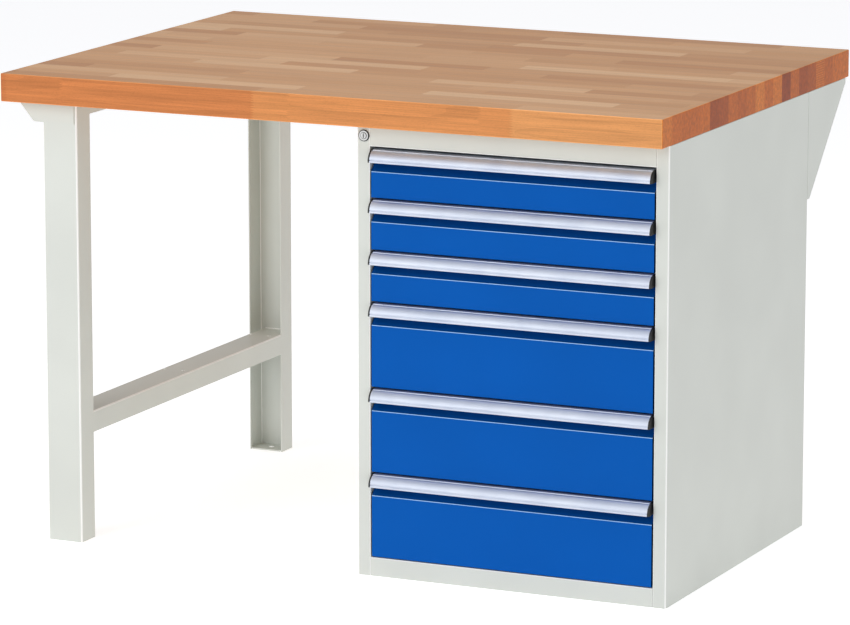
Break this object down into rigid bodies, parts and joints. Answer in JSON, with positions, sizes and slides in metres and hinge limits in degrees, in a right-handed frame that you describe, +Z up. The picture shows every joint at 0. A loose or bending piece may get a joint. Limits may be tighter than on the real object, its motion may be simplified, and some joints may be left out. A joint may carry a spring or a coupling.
{
  "type": "workbench with drawers",
  "caption": "Workbench: thick glued beech board on a steel chest of full-width drawers with handle strips at one side and a channel leg frame at the other.",
  "frame": {"origin": "on the floor under the middle of the board", "axes": "+X to the right along the board, +Y to the rear, +Z up; drawers open towards -Y"},
  "size_m": [1.25, 0.9, 0.84],
  "materials": {
    "beech": "oiled beech staves glued side by side",
    "grey_paint": "light grey powder coat",
    "blue_paint": "strong blue powder coat",
    "anodised_aluminium": "satin natural anodised",
    "black_plastic": "fine matt black",
    "zinc_steel": "bright zinc plated",
    "lock_chrome": "polished nickel"
  },
  "bodies": {
    "bench_frame": {"worktop": "beech", "cabinet_left_side": "grey_paint", "cabinet_right_side": "grey_paint", "cabinet_back": "grey_paint", "cabinet_base": "grey_paint", "cabinet_bottom_rail": "grey_paint", "cabinet_top_rail": "grey_paint", "cabinet_rear_top_rail": "grey_paint", "cabinet_left_gusset": "grey_paint", "cabinet_right_gusset": "grey_paint", "slide_uprights": "grey_paint", "slide_outer_rails": "zinc_steel", "lock_barrel": "lock_chrome", "lock_bar_guides": "zinc_steel", "leg_front": "grey_paint", "leg_rear": "grey_paint", "leg_crossbar": "grey_paint", "leg_head_bracket": "grey_paint", "leg_foot_plates": "grey_paint", "cabinet_screws": "zinc_steel", "leg_screws": "zinc_steel"},
    "drawer_1": {"drawer_1_front": "blue_paint", "drawer_1_box": "grey_paint", "drawer_1_handle": "anodised_aluminium", "drawer_1_handle_caps": "black_plastic", "drawer_1_inner_slides": "zinc_steel"},
    "slides_1": {"drawer_1_middle_slides": "zinc_steel"},
    "drawer_2": {"drawer_2_front": "blue_paint", "drawer_2_box": "grey_paint", "drawer_2_handle": "anodised_aluminium", "drawer_2_handle_caps": "black_plastic", "drawer_2_inner_slides": "zinc_steel"},
    "slides_2": {"drawer_2_middle_slides": "zinc_steel"},
    "drawer_3": {"drawer_3_front": "blue_paint", "drawer_3_box": "grey_paint", "drawer_3_handle": "anodised_aluminium", "drawer_3_handle_caps": "black_plastic", "drawer_3_inner_slides": "zinc_steel"},
    "slides_3": {"drawer_3_middle_slides": "zinc_steel"},
    "drawer_4": {"drawer_4_front": "blue_paint", "drawer_4_box": "grey_paint", "drawer_4_handle": "anodised_aluminium", "drawer_4_handle_caps": "black_plastic", "drawer_4_inner_slides": "zinc_steel"},
    "slides_4": {"drawer_4_middle_slides": "zinc_steel"},
    "drawer_5": {"drawer_5_front": "blue_paint", "drawer_5_box": "grey_paint", "drawer_5_handle": "anodised_aluminium", "drawer_5_handle_caps": "black_plastic", "drawer_5_inner_slides": "zinc_steel"},
    "slides_5": {"drawer_5_middle_slides": "zinc_steel"},
    "drawer_6": {"drawer_6_front": "blue_paint", "drawer_6_box": "grey_paint", "drawer_6_handle": "anodised_aluminium", "drawer_6_handle_caps": "black_plastic", "drawer_6_inner_slides": "zinc_steel"},
    "slides_6": {"drawer_6_middle_slides": "zinc_steel"},
    "lock_plug": {"lock_plug": "lock_chrome", "lock_cam": "zinc_steel"},
    "lock_bar": {"lock_bar": "zinc_steel"}
  },
  "joints": [
    {"name": "drawer_1_slide", "type": "slide", "parent": "bench_frame", "child": "drawer_1", "axis": [0, -1, 0], "range_m": [0, 0.54]},
    {"name": "slides_1_slide", "type": "slide", "parent": "bench_frame", "child": "slides_1", "axis": [0, -1, 0], "range_m": [0, 0.27]},
    {"name": "drawer_2_slide", "type": "slide", "parent": "bench_frame", "child": "drawer_2", "axis": [0, -1, 0], "range_m": [0, 0.54]},
    {"name": "slides_2_slide", "type": "slide", "parent": "bench_frame", "child": "slides_2", "axis": [0, -1, 0], "range_m": [0, 0.27]},
    {"name": "drawer_3_slide", "type": "slide", "parent": "bench_frame", "child": "drawer_3", "axis": [0, -1, 0], "range_m": [0, 0.54]},
    {"name": "slides_3_slide", "type": "slide", "parent": "bench_frame", "child": "slides_3", "axis": [0, -1, 0], "range_m": [0, 0.27]},
    {"name": "drawer_4_slide", "type": "slide", "parent": "bench_frame", "child": "drawer_4", "axis": [0, -1, 0], "range_m": [0, 0.54]},
    {"name": "slides_4_slide", "type": "slide", "parent": "bench_frame", "child": "slides_4", "axis": [0, -1, 0], "range_m": [0, 0.27]},
    {"name": "drawer_5_slide", "type": "slide", "parent": "bench_frame", "child": "drawer_5", "axis": [0, -1, 0], "range_m": [0, 0.54]},
    {"name": "slides_5_slide", "type": "slide", "parent": "bench_frame", "child": "slides_5", "axis": [0, -1, 0], "range_m": [0, 0.27]},
    {"name": "drawer_6_slide", "type": "slide", "parent": "bench_frame", "child": "drawer_6", "axis": [0, -1, 0], "range_m": [0, 0.54]},
    {"name": "slides_6_slide", "type": "slide", "parent": "bench_frame", "child": "slides_6", "axis": [0, -1, 0], "range_m": [0, 0.27]},
    {"name": "lock_turn", "type": "hinge", "parent": "bench_frame", "child": "lock_plug", "pos_m": [0.0643, -0.416, 0.771], "axis": [0, 1, 0], "range_deg": [0, 90]},
    {"name": "lock_bar_lift", "type": "slide", "parent": "bench_frame", "child": "lock_bar", "axis": [0, 0, 1], "range_m": [0, 0.011]}
  ],
  "couplings": [
    {"joint": "slides_1_slide", "follows": "drawer_1_slide", "ratio": 0.5},
    {"joint": "slides_2_slide", "follows": "drawer_2_slide", "ratio": 0.5},
    {"joint": "slides_3_slide", "follows": "drawer_3_slide", "ratio": 0.5},
    {"joint": "slides_4_slide", "follows": "drawer_4_slide", "ratio": 0.5},
    {"joint": "slides_5_slide", "follows": "drawer_5_slide", "ratio": 0.5},
    {"joint": "slides_6_slide", "follows": "drawer_6_slide", "ratio": 0.5},
    {"joint": "lock_turn", "follows": "lock_bar_lift", "rad_per_m": 142.8}
  ]
}
